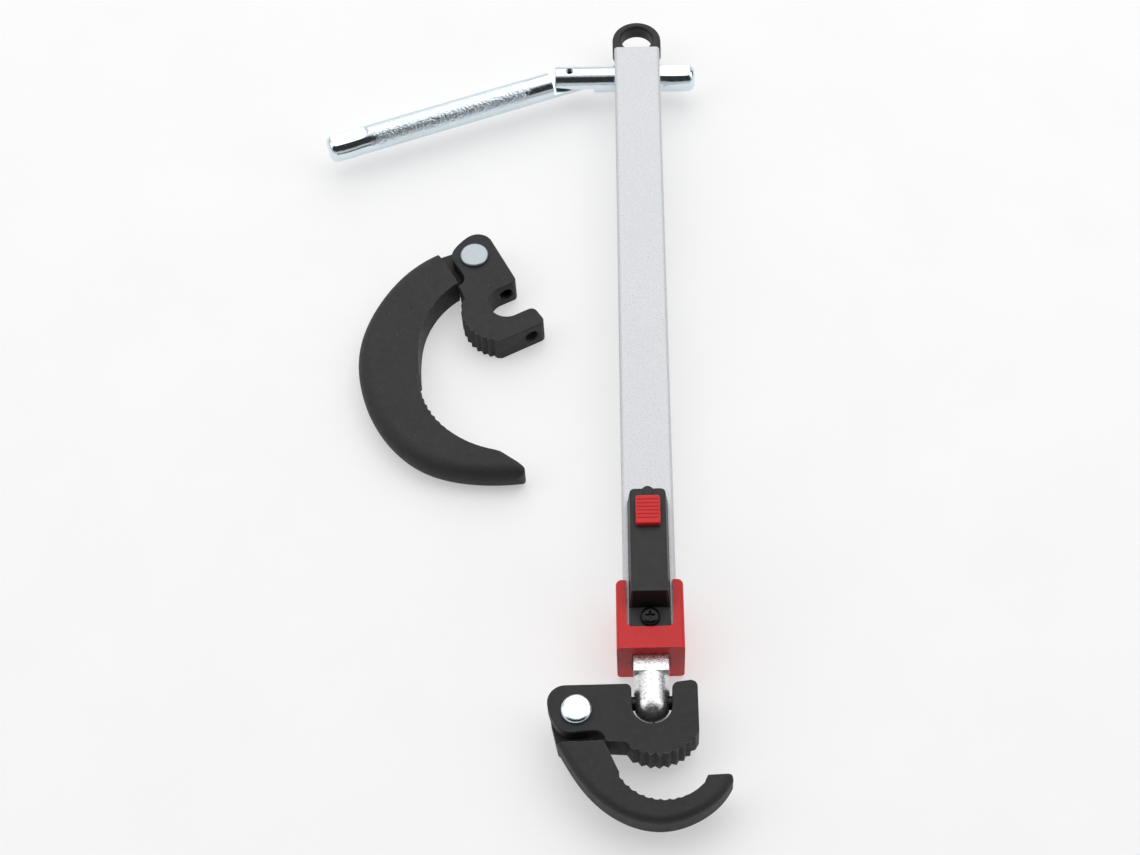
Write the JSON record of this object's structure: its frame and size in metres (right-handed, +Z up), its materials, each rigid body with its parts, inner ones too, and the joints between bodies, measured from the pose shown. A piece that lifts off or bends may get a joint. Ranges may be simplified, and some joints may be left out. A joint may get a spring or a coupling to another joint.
{
  "type": "basin wrench",
  "caption": "Basin wrench with a telescoping square shaft, folding T-handle, flip-over sprung toothed jaw, clamp-on work light and a larger interchangeable jaw beside it.",
  "frame": {"origin": "middle of the bounding box's base, on the surface that the tool and its second jaw lie on", "axes": "+Y along the shaft from the head to the handle, +Z up from the surface, +X to the right seen from above with the head nearest"},
  "size_m": [0.1568, 0.3636, 0.0341],
  "materials": {
    "hammer_paint": "silver hammered enamel on steel",
    "black_plastic": "fine-grained moulded black",
    "red_plastic": "satin moulded red",
    "smoked_window": "smoked glossy",
    "black_screw": "glossy black oxide",
    "plated_steel": "bright zinc plate",
    "satin_zinc": "satin zinc plate",
    "phosphate": "matte black phosphate over a cast surface",
    "bar_steel": "silver flake paint on square steel bar",
    "spring_steel": "spring wire",
    "black_pin": "black oxide",
    "brass": "turned",
    "board": "green laminate",
    "cell_steel": "nickel-plated",
    "contact_metal": "nickel-plated spring strip",
    "led_lens": "clear",
    "resistor_body": "lacquered",
    "switch_case": "moulded"
  },
  "bodies": {
    "tool": {"outer_tube": "hammer_paint", "end_cap": "black_plastic", "collar": "red_plastic", "collar_screw": "satin_zinc", "light_housing": "black_plastic", "light_window": "smoked_window", "light_base": "black_plastic", "housing_screw": "black_screw", "led": "led_lens", "led_resistor": "resistor_body", "circuit_board": "board", "button_cells": "cell_steel", "contact_positive": "contact_metal", "contact_negative": "contact_metal", "switch_body": "switch_case"},
    "bar": {"inner_bar": "bar_steel", "drag_shoe": "brass", "drag_spring": "spring_steel", "plunger_bush_left": "satin_zinc", "plunger_bush_right": "satin_zinc", "plunger_spring": "spring_steel"},
    "plunger_left": {"plunger_left": "black_pin"},
    "plunger_right": {"plunger_right": "black_pin"},
    "small_jaw": {"small_jaw_base": "phosphate", "small_jaw_rivet": "plated_steel", "small_jaw_spring": "spring_steel"},
    "small_hook": {"small_jaw_hook": "phosphate"},
    "large_jaw": {"large_jaw_base": "phosphate", "large_jaw_rivet": "satin_zinc", "large_jaw_spring": "spring_steel"},
    "large_hook": {"large_jaw_hook": "phosphate"},
    "t_bar": {"handle_rod": "plated_steel", "hinge_pin": "spring_steel"},
    "arm": {"handle_arm": "plated_steel"},
    "switch": {"switch_slider": "red_plastic", "switch_knob": "switch_case"}
  },
  "joints": [
    {"name": "telescope", "type": "slide", "parent": "tool", "child": "bar", "axis": [0, -1, 0], "range_m": [0, 0.178]},
    {"name": "jaw_flip", "type": "hinge", "parent": "bar", "child": "small_jaw", "pos_m": [0.05141, -0.1362, 0.012], "axis": [1, 0, 0], "range_deg": [-90, 90]},
    {"name": "small_hook_swing", "type": "hinge", "parent": "small_jaw", "child": "small_hook", "pos_m": [0.02521, -0.14055, 0.012], "axis": [0, 0, 1], "range_deg": [-75, 0], "stiffness_Nm_per_rad": 0.12, "springref_deg": 34.38, "deforming": ["small_jaw_spring"]},
    {"name": "plunger_left", "type": "slide", "parent": "bar", "child": "plunger_left", "axis": [1, 0, 0], "range_m": [0, 0.0032], "stiffness_N_per_m": 250, "springref_m": -0.004, "deforming": ["plunger_spring"]},
    {"name": "plunger_right", "type": "slide", "parent": "bar", "child": "plunger_right", "axis": [-1, 0, 0], "range_m": [0, 0.0032], "stiffness_N_per_m": 250, "springref_m": -0.004, "deforming": ["plunger_spring"]},
    {"name": "large_jaw_lift", "type": "slide", "parent": "tool", "child": "large_jaw", "axis": [0, 0, 1], "range_m": [0, 0.1]},
    {"name": "large_hook_swing", "type": "hinge", "parent": "large_jaw", "child": "large_hook", "pos_m": [-0.01544, 0.05994, 0.006], "axis": [0, 0, 1], "range_deg": [-75, 0], "stiffness_Nm_per_rad": 0.25, "springref_deg": 34.38, "deforming": ["large_jaw_spring"]},
    {"name": "handle_slide", "type": "slide", "parent": "tool", "child": "t_bar", "axis": [1, 0, 0], "range_m": [0, 0.008]},
    {"name": "handle_fold", "type": "hinge", "parent": "t_bar", "child": "arm", "pos_m": [0.02281, 0.1525, 0.012], "axis": [0, 0, 1], "range_deg": [-110.1, 32]},
    {"name": "light_switch", "type": "slide", "parent": "tool", "child": "switch", "axis": [0, -1, 0], "range_m": [0, 0.003]}
  ]
}
